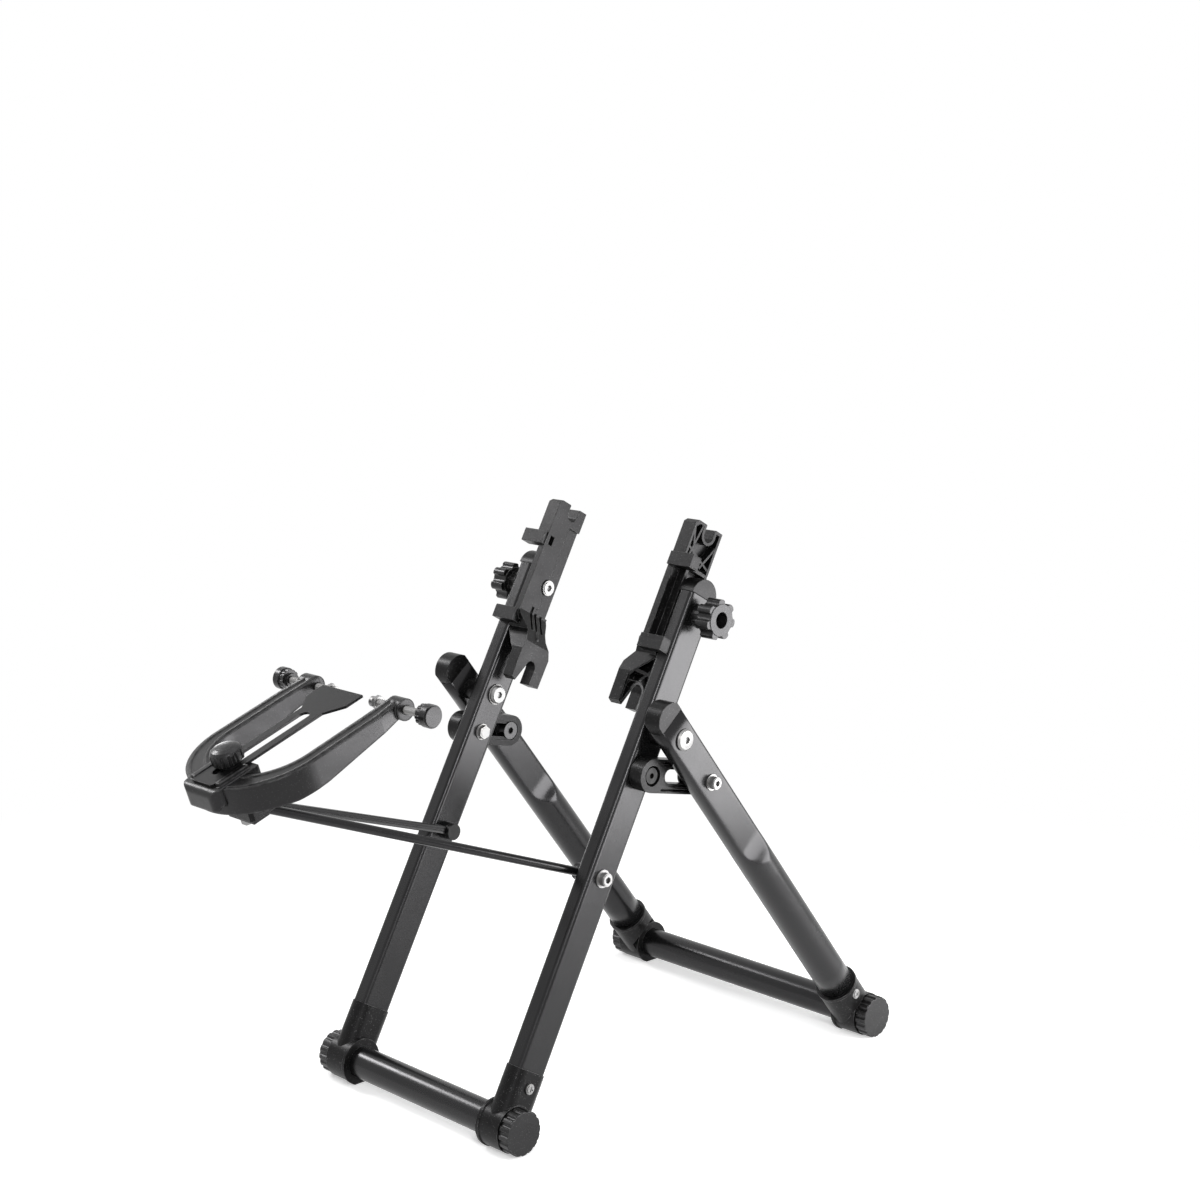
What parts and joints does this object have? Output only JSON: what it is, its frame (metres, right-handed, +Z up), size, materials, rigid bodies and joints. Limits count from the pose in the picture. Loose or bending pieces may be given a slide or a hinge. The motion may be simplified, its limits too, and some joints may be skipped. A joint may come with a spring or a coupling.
{
  "type": "bicycle wheel truing stand",
  "caption": "Folding stand that holds a bicycle wheel by its hub axle while the rim is trued against a swinging calliper.",
  "frame": {"origin": "on the floor under the middle of the stand's overall box", "axes": "+X across the stand towards its right side, +Y from the calliper towards the rear legs, +Z up"},
  "size_m": [0.2918, 0.5922, 0.445],
  "materials": {
    "powder_coat": "satin",
    "gloss_rod": "gloss",
    "plate_steel": "satin",
    "bright_zinc": "polished",
    "knob_plastic": "matte",
    "moulded_plastic": "matte"
  },
  "bodies": {
    "stand": {"right_upright": "powder_coat", "left_upright": "powder_coat", "right_upright_cap": "moulded_plastic", "left_upright_cap": "moulded_plastic", "front_crossbar": "powder_coat", "front_right_foot_socket": "moulded_plastic", "front_left_foot_socket": "moulded_plastic", "front_right_foot_screw": "bright_zinc", "front_left_foot_screw": "bright_zinc", "right_pivot_bolt": "bright_zinc", "left_pivot_bolt": "bright_zinc", "right_pivot_spacer": "moulded_plastic", "left_pivot_spacer": "moulded_plastic", "right_brace_bolt": "bright_zinc", "left_brace_bolt": "bright_zinc", "right_hub_bracket": "moulded_plastic", "left_hub_bracket": "moulded_plastic", "right_bracket_bolt": "bright_zinc", "left_bracket_bolt": "bright_zinc", "right_arm_bolt": "bright_zinc", "left_arm_bolt": "bright_zinc"},
    "rear_frame": {"right_rear_leg": "powder_coat", "left_rear_leg": "powder_coat", "right_leg_cap": "moulded_plastic", "left_leg_cap": "moulded_plastic", "rear_crossbar": "powder_coat", "rear_right_foot_socket": "moulded_plastic", "rear_left_foot_socket": "moulded_plastic", "rear_right_foot_screw": "bright_zinc", "rear_left_foot_screw": "bright_zinc", "right_slot_stud": "bright_zinc", "left_slot_stud": "bright_zinc"},
    "calliper": {"right_arm_rod": "gloss_rod", "left_arm_rod": "gloss_rod", "calliper_frame": "moulded_plastic", "calliper_block": "moulded_plastic", "rod_block": "moulded_plastic", "clamp_screw": "bright_zinc"},
    "front_right_end_knob_body": {"front_right_end_knob": "knob_plastic"},
    "front_left_end_knob_body": {"front_left_end_knob": "knob_plastic"},
    "rear_right_end_knob_body": {"rear_right_end_knob": "knob_plastic"},
    "rear_left_end_knob_body": {"rear_left_end_knob": "knob_plastic"},
    "right_brace_body": {"right_brace": "moulded_plastic"},
    "left_brace_body": {"left_brace": "moulded_plastic"},
    "right_slot_bush_body": {"right_slot_bush": "knob_plastic"},
    "left_slot_bush_body": {"left_slot_bush": "knob_plastic"},
    "right_star_knob_body": {"right_star_knob": "knob_plastic"},
    "left_star_knob_body": {"left_star_knob": "knob_plastic"},
    "gauge_plate_body": {"gauge_plate": "plate_steel"},
    "clamp_knob_body": {"clamp_knob": "knob_plastic"},
    "right_feeler_pad_body": {"right_feeler_pad": "bright_zinc"},
    "left_feeler_pad_body": {"left_feeler_pad": "bright_zinc"},
    "right_feeler_body": {"right_feeler_screw": "bright_zinc", "right_feeler_knob": "knob_plastic"},
    "left_feeler_body": {"left_feeler_screw": "bright_zinc", "left_feeler_knob": "knob_plastic"}
  },
  "joints": [
    {"name": "rear_frame_fold", "type": "hinge", "parent": "stand", "child": "rear_frame", "pos_m": [0, 0.06173, 0.28875], "axis": [-1, 0, 0], "range_deg": [0, 48]},
    {"name": "right_brace_turn", "type": "hinge", "parent": "stand", "child": "right_brace_body", "pos_m": [0, 0.04548, 0.26003], "axis": [-1, 0, 0], "range_deg": [0, 52.8]},
    {"name": "right_bush_slide", "type": "slide", "parent": "right_brace_body", "child": "right_slot_bush_body", "axis": [0, 0.9767, -0.2146], "range_m": [-0.0264, 0]},
    {"name": "left_brace_turn", "type": "hinge", "parent": "stand", "child": "left_brace_body", "pos_m": [0, 0.04548, 0.26003], "axis": [-1, 0, 0], "range_deg": [0, 52.8]},
    {"name": "left_bush_slide", "type": "slide", "parent": "left_brace_body", "child": "left_slot_bush_body", "axis": [0, 0.9767, -0.2146], "range_m": [-0.0264, 0]},
    {"name": "calliper_swing", "type": "hinge", "parent": "stand", "child": "calliper", "pos_m": [0, 0.00363, 0.18605], "axis": [1, 0, 0], "range_deg": [-30, 40]},
    {"name": "gauge_plate_slide", "type": "slide", "parent": "calliper", "child": "gauge_plate_body", "axis": [0, 0.9426, 0.3338], "range_m": [-0.05, 0.008]},
    {"name": "clamp_knob_turn", "type": "hinge", "parent": "calliper", "child": "clamp_knob_body", "pos_m": [0, -0.26869, 0.30928], "axis": [0, -0.3338, 0.9426], "continuous": true},
    {"name": "right_feeler_travel", "type": "slide", "parent": "calliper", "child": "right_feeler_pad_body", "axis": [-1, 0, 0], "range_m": [-0.01, 0.014]},
    {"name": "right_feeler_spin", "type": "hinge", "parent": "right_feeler_pad_body", "child": "right_feeler_body", "pos_m": [0.05, -0.15486, 0.33686], "axis": [-1, 0, 0], "range_deg": [-3600, 5040]},
    {"name": "right_star_knob_turn", "type": "hinge", "parent": "stand", "child": "right_star_knob_body", "pos_m": [0.1055, 0.1095, 0.37317], "axis": [1, 0, 0], "continuous": true},
    {"name": "left_feeler_travel", "type": "slide", "parent": "calliper", "child": "left_feeler_pad_body", "axis": [1, 0, 0], "range_m": [-0.01, 0.014]},
    {"name": "left_feeler_spin", "type": "hinge", "parent": "left_feeler_pad_body", "child": "left_feeler_body", "pos_m": [-0.05, -0.15486, 0.33686], "axis": [1, 0, 0], "range_deg": [-3600, 5040]},
    {"name": "left_star_knob_turn", "type": "hinge", "parent": "stand", "child": "left_star_knob_body", "pos_m": [-0.1055, 0.1095, 0.37317], "axis": [-1, 0, 0], "continuous": true},
    {"name": "front_right_end_knob_turn", "type": "hinge", "parent": "stand", "child": "front_right_end_knob_body", "pos_m": [0.1055, -0.0919, 0.0172], "axis": [1, 0, 0], "continuous": true},
    {"name": "front_left_end_knob_turn", "type": "hinge", "parent": "stand", "child": "front_left_end_knob_body", "pos_m": [-0.1055, -0.0919, 0.0172], "axis": [-1, 0, 0], "continuous": true},
    {"name": "rear_right_end_knob_turn", "type": "hinge", "parent": "rear_frame", "child": "rear_right_end_knob_body", "pos_m": [0.1395, 0.27773, 0.0172], "axis": [1, 0, 0], "continuous": true},
    {"name": "rear_left_end_knob_turn", "type": "hinge", "parent": "rear_frame", "child": "rear_left_end_knob_body", "pos_m": [-0.1395, 0.27773, 0.0172], "axis": [-1, 0, 0], "continuous": true}
  ],
  "couplings": [
    {"joint": "right_brace_turn", "follows": "rear_frame_fold", "ratio": 1.1},
    {"joint": "right_bush_slide", "follows": "rear_frame_fold", "m_per_rad": -0.031513},
    {"joint": "right_feeler_spin", "follows": "right_feeler_travel", "rad_per_m": 6283.2},
    {"joint": "left_brace_turn", "follows": "rear_frame_fold", "ratio": 1.1},
    {"joint": "left_bush_slide", "follows": "rear_frame_fold", "m_per_rad": -0.031513},
    {"joint": "left_feeler_spin", "follows": "left_feeler_travel", "rad_per_m": 6283.2}
  ]
}
